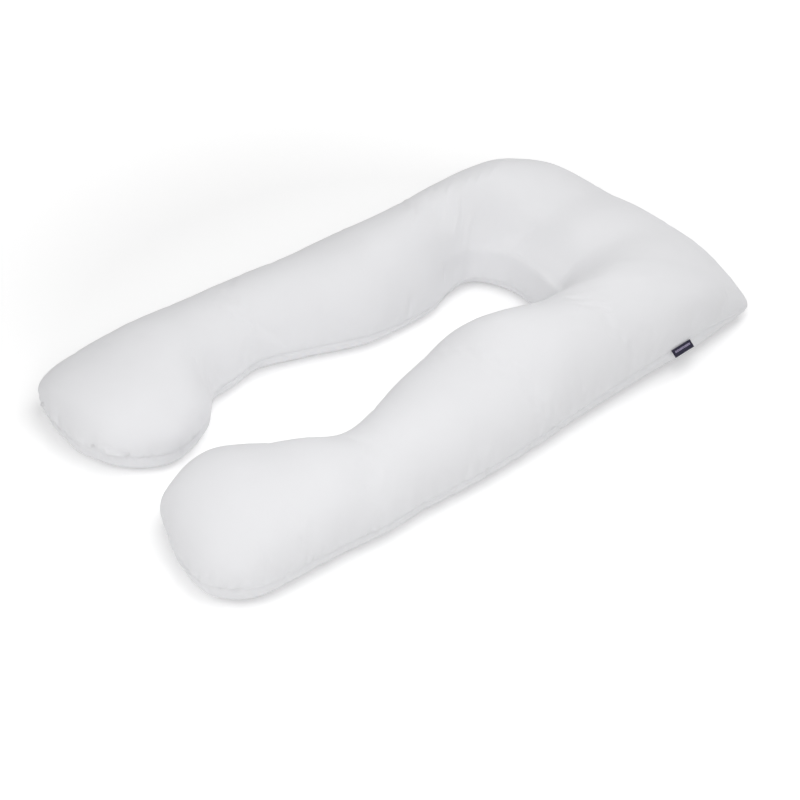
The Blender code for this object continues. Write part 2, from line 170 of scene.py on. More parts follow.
def seamLines(steps):
    # the inner and outer seam in plan; the outer one turns sharply at the head's two corners
    inner = np.array([(s.innerX, s.innerY) for s in sections])
    outer = np.array([(s.outerX, s.outerY) for s in sections])
    innerLine = smoothThrough(inner, outer[1], outer[-2], steps)
    corners = [i for i, s in enumerate(sections) if s.zone.lower().endswith("corner")]
    breaks = [0, *corners, len(sections) - 1]
    pieces = []
    for start, end in zip(breaks[:-1], breaks[1:]):
        run = outer[start:end + 1]
        before = inner[1] if start == 0 else 2 * run[0] - run[1]
        after = inner[-2] if end == breaks[-1] else 2 * run[-1] - run[-2]
        pieces.append(smoothThrough(run, before, after, steps[start:end])[:-1])
    outerLine = np.vstack([*pieces, outer[-1:]])
    for corner in corners:
        outerLine = rounded(outerLine, sum(steps[:corner]))
    both = np.vstack([innerLine, outerLine])
    middle = (both.min(0) + both.max(0)) / 2
    return innerLine - middle, outerLine - middle


def sectionValues(steps):
    # crown and zone values at every row; the crown is smoothed as its square
    values = np.array([(s.crown ** 2, *zones[s.zone][:7]) for s in sections])
    before, after = values[1].copy(), values[-2].copy()
    before[0], after[0] = -before[0], -after[0]
    smooth = np.clip(smoothThrough(values, before, after, steps), 0.0, None)
    smooth[:, 0] = np.sqrt(smooth[:, 0])
    return smooth.T


class Outline:  # the closed seam line in plan: along the inner seam and back along the outer
    chunk = 2000    # points looked up at a time
    onSeam = 1e-4   # closer than this the way in is the seam's own normal

    def __init__(self, inner, outer, **values):
        self.points = np.vstack([inner, outer[-2:0:-1]])
        self.sides = np.roll(self.points, -1, axis=0) - self.points
        self.lengths = np.linalg.norm(self.sides, axis=1)
        self.runs = np.concatenate([[0.0], np.cumsum(self.lengths)])
        area = (self.points[:, 0] * self.sides[:, 1] - self.points[:, 1] * self.sides[:, 0]).sum()
        self.turn = math.copysign(1.0, area)
        self.values = {}
        for name, (onInner, onOuter) in values.items():
            self.values[name] = np.concatenate([onInner, onOuter[-2:0:-1], onInner[:1]])

    def nearest(self, plan):  # distance from the seam, the way in, and metres along the seam
        points = plan.reshape(-1, 2)
        gaps, ways, places = [], [], []
        for start in range(0, len(points), self.chunk):
            part = points[start:start + self.chunk]
            share = ((part[:, None] - self.points) * self.sides).sum(2) / self.lengths ** 2
            share = np.clip(share, 0.0, 1.0)
            away = part[:, None] - self.points - share[..., None] * self.sides
            far = np.linalg.norm(away, axis=2)
            side = far.argmin(1)
            pick = (np.arange(len(part)), side)
            normal = np.stack([-self.sides[side, 1], self.sides[side, 0]], axis=1) * self.turn
            way = np.where(far[pick][:, None] > self.onSeam, away[pick], normal)
            ways.append(way / np.linalg.norm(way, axis=1, keepdims=True))
            gaps.append(far[pick])
            places.append(self.runs[side] + share[pick] * self.lengths[side])
        shape = plan.shape[:-1]
        return (np.concatenate(gaps).reshape(shape), np.vstack(ways).reshape(plan.shape),
                np.concatenate(places).reshape(shape))

    def at(self, name, place):
        return np.interp(place, self.runs, self.values[name])


def capped(grid, rims, power):
    # a grid of cross sections with the rows added that close both tips, starting on their rims
    count = cover["tipRows"]
    share = ((np.arange(count) / count) ** power).reshape(-1, *[1] * (grid.ndim - 1))
    first = rims[0] + (grid[0] - rims[0]) * share
    last = rims[1] + (grid[-1] - rims[1]) * share[::-1]
    return np.concatenate([first, grid, last])


def onRim(tip, shares):
    # points of a tip's rim at the given shares of its length
    run = runningLength(tip)
    return np.stack([np.interp(shares * run[-1], run, tip[:, k]) for k in (0, 1)], axis=1)


def heldFilm(plan):
    # height of a film blown up evenly over the plan and held down along its edge
    rows, columns = plan.shape[:2]
    index = np.arange(rows * columns).reshape(rows, columns)
    a, b, c, d = (index[:-1, :-1], index[1:, :-1], index[1:, 1:], index[:-1, 1:])
    halves = [(a, b, c), (a, c, d), (a, b, d), (b, c, d)]
    corners = np.vstack([np.stack([p.ravel() for p in half], axis=1) for half in halves])
    points = plan.reshape(-1, 2)[corners]
    sides = np.roll(points, -2, axis=1) - np.roll(points, -1, axis=1)
    area = np.abs(sides[:, 0, 0] * sides[:, 1, 1] - sides[:, 0, 1] * sides[:, 1, 0]) / 2
    real = area > 1e-10  # where a tip's rows meet, triangles have no area
    corners, sides, area = corners[real], sides[real], area[real]
    pull = np.einsum("nik,njk->nij", sides, sides) / (4 * area)[:, None, None]
    onto = np.repeat(corners, 3, axis=1).ravel()
    comes = np.tile(corners, (1, 3)).ravel()
    pull = pull.ravel()
    size = rows * columns
    load = np.bincount(corners.ravel(), np.repeat(area / 3, 3), size)
    free = np.zeros(size)
    free[index[1:-1, 1:-1].ravel()] = 1.0
    scale = free / np.maximum(np.bincount(onto[onto == comes], pull[onto == comes], size), 1e-12)
    height = np.zeros(size)
    rest = load * free
    step = scale * rest
    strength = rest @ step
    for _ in range(cover["filmRounds"]):  # conjugate gradients
        moved = free * np.bincount(onto, pull * step[comes], size)
        share = strength / (step @ moved)
        height += share * step
        rest -= share * moved
        scaled = scale * rest
        stronger = rest @ scaled
        if stronger < 1e-14 * (load @ (scale * load)):
            break
        step = scaled + stronger / strength * step
        strength = stronger
    return height.reshape(rows, columns)


def acrossRows(values, shares, dense):
    # values of every row, given at shares across it, read at the dense shares
    place = np.interp(dense, shares, np.arange(len(shares)))
    low = np.minimum(place.astype(int), len(shares) - 2)
    return values[:, low] * (1 - (place - low)) + values[:, low + 1] * (place - low)


def evened(profile, spans):
    # every row of a panel laid out again in even strips, closer beside the seam
    count = np.arange(spans + 1) / spans
    shares = count - cover["edgeCrowding"] / (2 * math.pi) * np.sin(2 * math.pi * count)
    rows = []
    for line in profile:
        run = runningLength(line)
        rows.append(np.stack([np.interp(shares * run[-1], run, line[:, k]) for k in range(3)], axis=1))
    return np.array(rows), shares


def bunched(spans):
    # shares from 0 to 1 that lie closer at both ends
    return 0.5 - 0.5 * np.cos(math.pi * np.arange(spans + 1) / spans)


def rolledUnder(gap, level, power):
    # height of the lower panel, which rolls from the seam down to the floor
    rolled = np.clip((gap - cover["seamLip"]) / (cover["tuck"] - cover["seamLip"]), 0.0, 1.0)
    return level * (1 - (1 - (1 - rolled) ** 2) ** power)


def foldedOver(height, gap, crest, dip):
    # height of the upper panel with the fold over the gap's wall and the dip behind it
    fold = np.exp(-((gap - cover["crestIn"]) / cover["crestWidth"]) ** 2)
    fold -= math.exp(-(cover["crestIn"] / cover["crestWidth"]) ** 2)
    height = height + crest * np.clip(fold, 0.0, None)
    return height - dip * np.exp(-((gap - cover["dipIn"]) / cover["dipWidth"]) ** 2) * (gap > 0)


def coverPanels():
    # points of the upper and the lower panel, row by row, and the outline of the seam
    steps = [stepsBetween(a, b) for a, b in zip(sections[:-1], sections[1:])]
    inner, outer = seamLines(steps)
    crown, seam, innerRound, outerRound, pleat, innerPleat, crest, dip = sectionValues(steps)
    outline = Outline(inner, outer, seam=(seam, seam), pleat=(innerPleat, pleat),
                      crest=(crest, crest * 0), dip=(dip, dip * 0))
    first = steps[0]
    last = len(inner) - 1 - steps[-1]
    tips = (np.vstack([inner[first:0:-1], outer[:first + 1]]),
            np.vstack([inner[last:-1], outer[:last - 1:-1]]))
    kept = slice(first, last + 1)
    inner, outer, crown, seam = inner[kept], outer[kept], crown[kept], seam[kept]
    innerRound, outerRound = innerRound[kept], outerRound[kept]

    shares = bunched(cover["filmSpans"])
    plan = inner[:, None] + (outer - inner)[:, None] * shares[:, None]
    rims = [onRim(tip, shares) for tip in tips]
    film = heldFilm(capped(plan, rims, 2))[cover["tipRows"]:-cover["tipRows"]]
    gap, _, place = outline.nearest(plan)

    dense = bunched(cover["fineSpans"])
    swell = acrossRows(film / film.max(axis=1, keepdims=True), shares, dense)
    gap = acrossRows(gap, shares, dense)
    crestHere = acrossRows(outline.at("crest", place), shares, dense)
    dipHere = acrossRows(outline.at("dip", place), shares, dense)
    plan = inner[:, None] + (outer - inner)[:, None] * dense[:, None]
    blend = dense ** 2 * (3 - 2 * dense)
    power = innerRound[:, None] * (1 - blend) + outerRound[:, None] * blend
    height = seam[:, None] + crown[:, None] * swell ** power
    height = foldedOver(height, gap, crestHere, dipHere)
    upper, _ = evened(np.dstack([plan, height]), cover["spans"])

    power = np.where(dense < 0.5, innerRound[:, None], outerRound[:, None])
    height = rolledUnder(gap, seam[:, None], power)
    lower, shares = evened(np.dstack([plan, height]), cover["spans"])

    rims = [onRim(tip, shares) for tip in tips]
    levels = [np.full(len(shares), level) for level in (seam[0], seam[-1])]
    upper, lower = (np.dstack([capped(panel[..., :2], rims, 2), capped(panel[..., 2], levels, 1)])
                    for panel in (upper, lower))
    lowerGap, _, _ = outline.nearest(lower[..., :2])
    tipRows = [*range(cover["tipRows"]), *range(-cover["tipRows"], 0)]
    for row in tipRows:  # the tips have no cross section, so they go by the distance alone
        lower[row, :, 2] = rolledUnder(lowerGap[row], seam[0], innerRound[0])
    return upper, lower, outline


def gridFaces(rows, columns, start=0, flip=False):
    # the four-sided faces of a grid whose first vertex has the number start
    index = np.arange(rows * columns).reshape(rows, columns) + start
    faces = np.stack([index[:-1, :-1], index[1:, :-1], index[1:, 1:], index[:-1, 1:]], axis=2)
    faces = faces.reshape(-1, 4)
    return faces[:, ::-1] if flip else faces


def coverMesh(name, upper, lower):
    # one closed mesh of both panels; the second value gives each grid point's vertex
    points = np.vstack([upper.reshape(-1, 3), lower.reshape(-1, 3)])
    rows, columns = upper.shape[:2]
    inside = np.zeros((rows, columns), bool)
    inside[1:-1, 1:-1] = True
    same = np.arange(len(points))
    keys = {}
    for index in np.flatnonzero(~np.tile(inside.ravel(), 2)):
        same[index] = keys.setdefault(tuple(np.round(points[index], 6)), index)
    kept, vertexOf = np.unique(same, return_inverse=True)
    faces = np.vstack([gridFaces(rows, columns), gridFaces(rows, columns, rows * columns, True)])
    vertices, corners = [], []
    for face, merged in zip(faces.tolist(), vertexOf[faces].tolist()):
        real = [i for i in range(4) if merged[i] != merged[i - 1]]
        if len(real) > 2:
            vertices.append([merged[i] for i in real])
            corners += [face[i] for i in real]
    mesh = bpy.data.meshes.new(name)
    mesh.from_pydata(points[kept].tolist(), [], vertices)
    along = runningLength(points[:rows * columns].reshape(rows, columns, 3)[:, columns // 2])
    grain = []
    for panel in (upper, lower):  # the cloth's grain: metres along the arms and across them
        across = np.linalg.norm(np.diff(panel, axis=1), axis=2).cumsum(axis=1)
        across = np.hstack([np.zeros((rows, 1)), across])
        grain.append(np.dstack([np.repeat(along[:, None], columns, axis=1), across]).reshape(-1, 2))
    layer = mesh.uv_layers.new(name="grain")
    layer.data.foreach_set("uv", np.vstack(grain)[corners].astype(np.float32).ravel())
    return mesh, vertexOf


def shown(name, mesh):  # a new object in the scene
    item = bpy.data.objects.new(name, mesh)
    scene.collection.objects.link(item)
    return item


def normalsOf(sheet, facing):
    # a sheet's normals, turned to the side that faces along an axis
    normal = np.cross(np.gradient(sheet, axis=1), np.gradient(sheet, axis=0))
    normal /= np.maximum(np.linalg.norm(normal, axis=2, keepdims=True), 1e-9)
    return normal * math.copysign(1.0, normal[..., facing].mean())


def creased(panel):
    # a panel with its creases pressed in and its ridges raised
    normal = normalsOf(panel, 2)
    moved = panel.copy()
    for crease in creases:
        heading, climb = math.radians(crease.heading), math.radians(crease.climb)
        run = np.array([math.cos(climb) * math.cos(heading), math.cos(climb) * math.sin(heading),
                        math.sin(climb)])
        offset = panel - (crease.x, crease.y, crease.z)
        lengthwise = offset @ run
        sidewise = (offset ** 2).sum(2) - lengthwise ** 2
        share = np.exp(-(lengthwise / crease.length) ** 2 - sidewise / crease.width ** 2)
        share[:, (0, -1)] = 0.0
        moved -= (crease.depth * share)[..., None] * normal
    return moved


blowing = {
    "frames": 20,
    "quality": 6,
    "mass": 0.25,
    "pressure": 4.0,
    "grow": 0.008,        # how much wider the cloth is cut than the shape it starts from
    "stretch": 18,        # stiffness against stretching and squeezing
    "shear": 8,
    "bend": 0.8,          # stiffness against folding
    "restsBelow": 0.001,  # what lies lower than this stays on the floor
    "broadRounds": 40,    # how often the movement is evened out to find the broad swelling
    "keptSwell": 0.15,    # part of the broad swelling that stays
    "keptWrinkles": 0.6,  # part of the wrinkles that stays
    "cap": 0.006,         # the furthest that a point may move
    "calmCorner": 0.025,  # wrinkles fade out this close to where an arm's tip begins
    "calmHead": 0.110,    # and this close to the gap's two corners
    "headCorners": [(-0.125, 0.270, 0.070), (0.110, 0.310, 0.100)],
}


def evenedOut(mesh, values, rounds):
    # every point's values mixed with those of its neighbours, a number of times
    edges = np.empty(len(mesh.edges) * 2, np.int32)
    mesh.edges.foreach_get("vertices", edges)
    a, b = edges[::2], edges[1::2]
    count = np.bincount(edges, minlength=len(values))[:, None]
    for _ in range(rounds):
        total = np.zeros_like(values)
        for axis in range(3):
            total[:, axis] = (np.bincount(a, values[b, axis], len(values))
                              + np.bincount(b, values[a, axis], len(values)))
        values = (values + total / count) / 2
    return values


def blownUp(upper, lower):
    # the wrinkles that the filled cloth takes, on every second row and strip of the panels
    starts = upper[::2, ::2], lower[::2, ::2]
    mesh, vertexOf = coverMesh("blownCover", *starts)
    start = np.empty(len(mesh.vertices) * 3, np.float32)
    mesh.vertices.foreach_get("co", start)
    start = start.reshape(-1, 3).astype(float)
    item = shown("blownCover", mesh)
    rows, columns = starts[0].shape[:2]
    border = np.zeros((rows, columns), bool)
    border[:, (0, -1)] = border[(0, -1), :] = True
    held = set(vertexOf[:rows * columns][border.ravel()].tolist())
    held |= set(np.flatnonzero(start[:, 2] < blowing["restsBelow"]).tolist())
    group = item.vertex_groups.new(name="held")
    group.add(sorted(held), 1.0, "REPLACE")
    cloth = item.modifiers.new("cloth", "CLOTH")
    settings = cloth.settings
    settings.quality = blowing["quality"]
    settings.mass = blowing["mass"]
    settings.tension_stiffness = settings.compression_stiffness = blowing["stretch"]
    settings.shear_stiffness = blowing["shear"]
    settings.bending_stiffness = blowing["bend"]
    settings.use_pressure = True
    settings.uniform_pressure_force = blowing["pressure"]
    settings.shrink_min = -blowing["grow"]
    settings.vertex_group_mass = "held"
    settings.effector_weights.gravity = 0.0
    cloth.point_cache.frame_start = 1
    cloth.point_cache.frame_end = blowing["frames"]
    for number in range(1, blowing["frames"] + 1):
        scene.frame_set(number)
    evaluated = item.evaluated_get(bpy.context.evaluated_depsgraph_get())
    end = np.empty(len(mesh.vertices) * 3, np.float32)
    evaluated.data.vertices.foreach_get("co", end)
    moved = end.reshape(-1, 3) - start
    broad = evenedOut(mesh, moved, blowing["broadRounds"])
    moved = blowing["keptWrinkles"] * (moved - broad) + blowing["keptSwell"] * broad
    far = np.maximum(np.linalg.norm(moved, axis=1, keepdims=True), 1e-9)
    print("cloth moved", far.max(), far.mean())
    moved *= blowing["cap"] * np.tanh(far / blowing["cap"]) / far
    moved[sorted(held)] = 0.0
    ends = starts[0][(0, 0, -1, -1), (0, -1, 0, -1)]
    calm = [(corner, blowing["calmCorner"]) for corner in ends]
    calm += [(np.array(corner), blowing["calmHead"]) for corner in blowing["headCorners"]]
    for corner, reach in calm:
        gap = np.linalg.norm(start - corner, axis=1, keepdims=True)
        moved *= 1 - np.exp(-(gap / reach) ** 2)
    bpy.data.objects.remove(item)
    bpy.data.meshes.remove(mesh)
    scene.frame_set(1)
    onUpper, onLower = np.split(moved[vertexOf], 2)
    return onUpper.reshape(rows, columns, 3), onLower.reshape(rows, columns, 3)


def between(grid):
    # a grid with a row and a strip added between each two, on smooth curves
    for axis in (0, 1):
        grid = np.moveaxis(grid, axis, 0)
        padded = np.concatenate([grid[:1], grid, grid[-1:]])
        middle = (9 * (padded[1:-2] + padded[2:-1]) - padded[:-3] - padded[3:]) / 16
        full = np.empty((2 * len(grid) - 1, *grid.shape[1:]))
        full[::2] = grid
        full[1::2] = middle
        grid = np.moveaxis(full, 0, axis)
    return grid


sewing = {
    "sink": 0.0022,                # how far the seam is pulled in between the panels
    "sinkWidth": 0.0050,
    "spacing": (0.018, 0.046),     # least and most between two pleats along the seam
    "depths": (0.35, 1.25),        # of a pleat, as parts of its zone's pleat depth
    "width": 0.0042,               # half width of a pleat at the seam
    "widths": (1.2, 1.9),          # times that width, drawn for each pleat
    "opening": 0.16,               # how much wider it gets per metre away from the seam
    "reach": (0.010, 0.034),       # how far a pleat reaches into the panel
    "lean": 0.45,                  # how far it may slant per metre away from the seam
    "furthest": 0.11,              # no pleat is felt this far from the seam
    "eased": 0.6,                  # how much shallower a pleat is on the seam itself
    "easedWidth": 0.004,
    "lift": 0.5,                   # how far a pleat lifts the seam, as a part of its depth
    "liftWidth": 0.016,
    "liftFrom": 0.03,              # the lift is full from this height over the floor
    "labelClear": 0.050,           # no pleats this close to the label's middle
    "deepClear": 0.012,            # nor this close to a deeper pleat
    "seed": 11,
}

# Deeper pleats at the arm ends: a place beside the seam, depth, half width, reach and lean.
Pleat = namedtuple("Pleat", "x y depth width reach lean")
deepPleats = [
    Pleat(0.322, -0.740, 0.0045, 0.0032, 0.026, 0.30),
    Pleat(-0.052, -0.598, 0.0040, 0.0030, 0.020, 0.00),
    Pleat(-0.047, -0.544, 0.0036, 0.0030, 0.016, 0.20),
    Pleat(-0.300, -0.676, 0.0040, 0.0060, 0.030, -0.20),
    Pleat(-0.392, -0.592, 0.0036, 0.0060, 0.030, 0.10),
    Pleat(0.060, -0.617, 0.0034, 0.0040, 0.024, 0.20),
]


def pleatsAlong(outline, seed):
    # rows of place along the seam, depth, half width, reach and lean
    chance = np.random.default_rng(seed)
    label = outline.nearest(np.array([[tag["middleX"], tag["middleY"]]]))[2][0]
    rows = []
    place = 0.0
    while place < outline.runs[-1]:
        depth = outline.at("pleat", place) * chance.uniform(*sewing["depths"])
        reach = chance.uniform(*sewing["reach"])
        lean = chance.uniform(-sewing["lean"], sewing["lean"])
        if abs(place - label) > sewing["labelClear"]:
            width = sewing["width"] * chance.uniform(*sewing["widths"])
            rows.append((place, depth, width, reach, lean))
        place += chance.uniform(*sewing["spacing"])
    for deep in deepPleats:
        place = outline.nearest(np.array([[deep.x, deep.y]]))[2][0]
        rows = [row for row in rows if abs(row[0] - place) > sewing["deepClear"]]
        rows.append((place, deep.depth, deep.width, deep.reach, deep.lean))
    return rows


def sewn(panel, outline, seed):
    # a panel drawn in along the seam and pleated beside it
    gap, wayIn, place = outline.nearest(panel[..., :2])
    away = np.hypot(gap, panel[..., 2] - outline.at("seam", place))
    total = outline.runs[-1]
    depth = np.zeros_like(away)
    lift = np.zeros_like(away)
    near = away < sewing["furthest"]
    far, here = away[near], place[near]
    for middle, deep, width, reach, lean in pleatsAlong(outline, seed):
        side = (here - middle - lean * far + total / 2) % total - total / 2
        across = side / (width + sewing["opening"] * far)
        share = deep * np.exp(-across ** 2 - (far / reach) ** 2)
        depth[near] += share
        lift[near] += share * np.exp(-(far / sewing["liftWidth"]) ** 2)
    depth *= 1 - sewing["eased"] * np.exp(-(away / sewing["easedWidth"]) ** 2)
    depth += sewing["sink"] * np.exp(-(away / sewing["sinkWidth"]) ** 2)
    moved = panel.copy()
    moved[..., :2] += depth[..., None] * wayIn
    moved[..., 2] += sewing["lift"] * lift * np.clip(panel[..., 2] / sewing["liftFrom"], 0, 1)
    return moved


lumps = {
    "sizes": (0.120, 0.055, 0.026),            # how far apart the filling's soft lumps are
    "heights": (0.0020, 0.0009, 0.0003),
    "fade": 12,                                # how quickly they fade in from a panel's sides
}


def lumpy(panel):
    # soft unevenness of the filling, fading out beside the seam
    normal = normalsOf(panel, 2)
    rise = np.zeros(panel.shape[:2])
    for size, height in zip(lumps["sizes"], lumps["heights"]):
        waves = [noise.noise(Vector(point) / size) for point in panel.reshape(-1, 3).tolist()]
        rise += height * np.array(waves).reshape(rise.shape)
    columns = np.arange(panel.shape[1]) / (panel.shape[1] - 1)
    fade = np.clip(np.minimum(columns, 1 - columns) * lumps["fade"], 0, 1)
    fade = fade * fade * (3 - 2 * fade)
    return panel + (rise * fade)[..., None] * normal


tag = {
    "middleX": 0.345,          # where its middle is beside the outer seam
    "middleY": 0.456,
    "length": 0.055,
    "height": 0.018,           # how far it stands out of the seam
    "gap": 0.0010,             # clear space between it and the seam
    "droop": 40,               # how far it hangs down from level, in degrees
    "thickness": 0.0009,
    "foldedEnd": 0.007,        # the short ends are folded under this far
    "foldedExtra": 0.0004,
    "foldedSoftness": 0.0006,  # how softly the folded ends step down
    "bow": 0.0004,             # how far it bows out between its two ends
    "rounding": 0.0007,        # how far in from its edges it is rounded
    "thinnest": 0.35,          # thickness of its edges, as a part of the whole
    "edgeIn": 0.0009,          # where the even strips start, beside the rounded edge
    "spans": (58, 26),
    "color": (0.010, 0.008, 0.026),
    "ribs": 0.00045,           # distance between two ribs of the tape
    "floats": 0.0009,          # and between its slanted threads
    "weave": 0.6,              # strength of the weave in the light
    "weaveDepth": 0.0002,
    "shadeBetweenThreads": 0.7,            # colour of the painted shade between the raised threads, as a part of the tape's
    "highlightOnThreads": 1.5,           # and of the painted highlight on them
    "roughness": 0.62,
    "sheen": 0.25,
    "smoothAngle": 50,
    "searched": 0.12,          # how far from its middle the seam that it hangs from is looked up
    "nearby": 0.0004,          # how far apart the points are that give a thread's normal
}

# The threads on the label: the stitches across its two ends, and the pale row of woven marks.
# sizes: from one thread to the next, and a thread's length, width and rise.
threadRoughness = 0.55
threadSheen = 0.2
stitching = {
    "lighter": 1.6,            # how much lighter the thread is than the tape
    "fromEnd": 0.0022,
    "fromEdge": 0.0016,
    "points": 30,
    "sizes": {"Pitch": 0.0026, "Length": 0.0023, "Width": 0.0006, "Rise": 0.0005},
}
marking = {
    "color": (0.36, 0.32, 0.46),
    "count": 9,
    "rowLength": 0.80,         # as a part of the label's length
    "rowHeight": 0.42,         # middle of the row, as a part of the label's height
    "halfWidth": 0.34,         # of one mark, as a part of the distance between two
    "lines": 5,
    "linePitch": 0.0009,
    "points": 8,
    "sizes": {"Pitch": 0.0011, "Length": 0.0014, "Width": 0.0008, "Rise": 0.00045},
}

upper, lower, outline = coverPanels()
upper = creased(upper)
print("panels laid out:", upper.shape[:2])
wrinkles = blownUp(upper, lower)
upper += between(wrinkles[0])
lower += between(wrinkles[1])
print("cover blown up")
upper = sewn(lumpy(upper), outline, sewing["seed"])
lower = sewn(lower, outline, sewing["seed"] + 1)
seamLine = (upper[:, (0, -1)] + lower[:, (0, -1)]) / 2
upper[:, (0, -1)] = lower[:, (0, -1)] = seamLine
upper[(0, -1), :] = lower[(0, -1), :] = (upper[(0, -1), :] + lower[(0, -1), :]) / 2
lower[..., 2] = np.maximum(lower[..., 2], 0.0)
print("cover sewn and pleated")


waveScale = math.pi / 10   # scale of a wave texture whose waves are one metre apart
specular = 0.25            # of every material here
sheenRoughness = 0.5


def shaderOf(name, color, roughness, sheen):
    # a matt material; its node tree and main shader are returned with it
    material = bpy.data.materials.new(name)
    material.use_nodes = True
    shader = material.node_tree.nodes["Principled BSDF"]
    shader.inputs["Base Color"].default_value = (*color, 1)
    shader.inputs["Roughness"].default_value = roughness
    shader.inputs["Specular IOR Level"].default_value = specular
    shader.inputs["Sheen Weight"].default_value = sheen
    shader.inputs["Sheen Roughness"].default_value = sheenRoughness
    return material, material.node_tree, shader


def added(tree, kind, inputs=(), **settings):
    # a new node with its settings and then the values of its inputs
    node = tree.nodes.new(kind)
    for name, value in settings.items():
        setattr(node, name, value)
    for name, value in dict(inputs).items():
        node.inputs[name].default_value = value
    return node


def noiseOver(tree, place, scale, detail):
    # soft spots over the piece, each about 1 / scale metres across
    spots = added(tree, "ShaderNodeTexNoise", {"Scale": scale, "Detail": detail})
    tree.links.new(place.outputs["Object"], spots.inputs["Vector"])
    return spots.outputs["Fac"]


def crossed(tree, layer, waves):
    # the higher of two sets of threads, each given as a direction and the distance between two
    grain = added(tree, "ShaderNodeUVMap", uv_map=layer)
    higher = added(tree, "ShaderNodeMath", operation="MAXIMUM")
    for number, (direction, pitch) in enumerate(waves):
        wave = added(tree, "ShaderNodeTexWave", {"Scale": waveScale / pitch}, bands_direction=direction)
        tree.links.new(grain.outputs["UV"], wave.inputs["Vector"])
        tree.links.new(wave.outputs["Fac"], higher.inputs[number])
    return higher.outputs["Value"]


def bumped(tree, height, strength, distance):
    # a relief in the light only, as high as the distance in metres
    bump = added(tree, "ShaderNodeBump", {"Strength": strength, "Distance": distance})
    tree.links.new(height, bump.inputs["Height"])
    return bump


def tinted(tree, shader, share, color, dark, light):
    # the shader's colour, between a darker and a lighter one
    tint = added(tree, "ShaderNodeMix", data_type="RGBA")
    tint.inputs["A"].default_value = (*[c * dark for c in color], 1)
    tint.inputs["B"].default_value = (*[c * light for c in color], 1)
    tree.links.new(share, tint.inputs["Factor"])
    tree.links.new(tint.outputs["Result"], shader.inputs["Base Color"])


cotton = {
    "color": (0.745, 0.745, 0.760),
    "roughness": 0.92,
    "sheen": 0.08,
    "thread": 0.0007,         # distance between two threads
    "weave": 0.25,            # strength of the weave in the light
    "weaveDepth": 0.0002,
    "slub": 0.20,             # strength of the threads' unevenness
    "slubSize": 0.0045,
    "slubDetail": 3.0,
    "slubDepth": 0.0006,
    "shade": 0.018,           # how much lighter or darker the cloth gets from place to place
    "shadeScale": 9.0,
    "shadeDetail": 2.0,
}


def cottonMaterial():
    # plain woven cotton: two crossing sets of threads along the grain, a little uneven
    material, tree, shader = shaderOf("cotton", cotton["color"], cotton["roughness"], cotton["sheen"])
    place = added(tree, "ShaderNodeTexCoord")
    weave = crossed(tree, "grain", (("X", cotton["thread"]), ("Y", cotton["thread"])))
    fine = bumped(tree, weave, cotton["weave"], cotton["weaveDepth"])
    slub = noiseOver(tree, place, 1 / cotton["slubSize"], cotton["slubDetail"])
    coarse = bumped(tree, slub, cotton["slub"], cotton["slubDepth"])
    tree.links.new(fine.outputs["Normal"], coarse.inputs["Normal"])
    tree.links.new(coarse.outputs["Normal"], shader.inputs["Normal"])
    patches = noiseOver(tree, place, cotton["shadeScale"], cotton["shadeDetail"])
    tinted(tree, shader, patches, cotton["color"], 1 - cotton["shade"], 1 + cotton["shade"])
    return material


mesh, _ = coverMesh("cover", upper, lower)
mesh.shade_smooth()
mesh.materials.append(cottonMaterial())
pillow = shown("cover", mesh)
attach(pillow, "root")
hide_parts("pillow")
print("cover made:", len(mesh.polygons), "faces")


def tagSheet(along, out):
    # points of the label's underside and its normals, from places along the seam and out from it
    seam = upper[:, -1]
    beside = seam[(seam[:, 0] > 0) & (abs(seam[:, 1] - tag["middleY"]) < tag["searched"])]
    beside = beside[np.argsort(beside[:, 1])]
    places = tag["middleY"] + along
    root = np.stack([np.interp(places, beside[:, 1], beside[:, k]) for k in range(3)], axis=1)
    run = beside[-1] - beside[0]
    level = np.array([run[1], -run[0], 0.0]) / math.hypot(run[0], run[1])
    droop = math.radians(tag["droop"])
    way = math.cos(droop) * level - np.array([0.0, 0.0, math.sin(droop)])
    sheet = root[:, None] + (tag["gap"] + out)[None, :, None] * way
    return sheet, normalsOf(sheet, 0)


def tagFront(along, out):
    # points and normals of the label's front: folded ends, a slight bow and rounded edges
    sheet, normal = tagSheet(along, out)
    fromEnd = (tag["length"] / 2 - abs(along))[:, None]
    fromEdge = np.minimum(out, tag["height"] - out)[None, :]
    folded = tag["foldedExtra"] / (1 + np.exp((fromEnd - tag["foldedEnd"]) / tag["foldedSoftness"]))
    thick = tag["thickness"] + folded
    thick = thick + tag["bow"] * np.cos(math.pi * along / tag["length"])[:, None] ** 2
    edge = np.clip(np.minimum(fromEnd, fromEdge) / tag["rounding"], 0, 1)
    thick = thick * (tag["thinnest"] + (1 - tag["thinnest"]) * np.sqrt(1 - (1 - edge) ** 2))
    return sheet + thick[..., None] * normal, normal


def tagLine(along, out):
    # points and normals along a straight line on the label's front
    beside = tag["nearby"] * np.arange(-1, 2)
    if len(along) == 1:
        front, normal = tagFront(along + beside, out)
        return front[1], normal[1]
    front, normal = tagFront(along, out + beside)
    return front[:, 1], normal[:, 1]


def crowded(count, size):
    # even places along a size, with two more close to each end for a rounded edge
    edge = tag["edgeIn"]
    places = np.linspace(edge, size - edge, count - 3)
    return np.concatenate([[0, edge / 3], places, [size - edge / 3, size]])


def tagMaterial():
    # ribbed woven tape with slanted threads between the ribs, with painted shade between the raised
    # threads and a painted highlight on them
    material, tree, shader = shaderOf("woven tape", tag["color"], tag["roughness"], tag["sheen"])
    weave = crossed(tree, "face", (("Y", tag["ribs"]), ("DIAGONAL", tag["floats"])))
    bump = bumped(tree, weave, tag["weave"], tag["weaveDepth"])
    tree.links.new(bump.outputs["Normal"], shader.inputs["Normal"])
    # the weave's height also paints the colour: painted shade between the raised threads, painted
    # highlight on them
    tinted(tree, shader, weave, tag["color"], tag["shadeBetweenThreads"], tag["highlightOnThreads"])
    return material


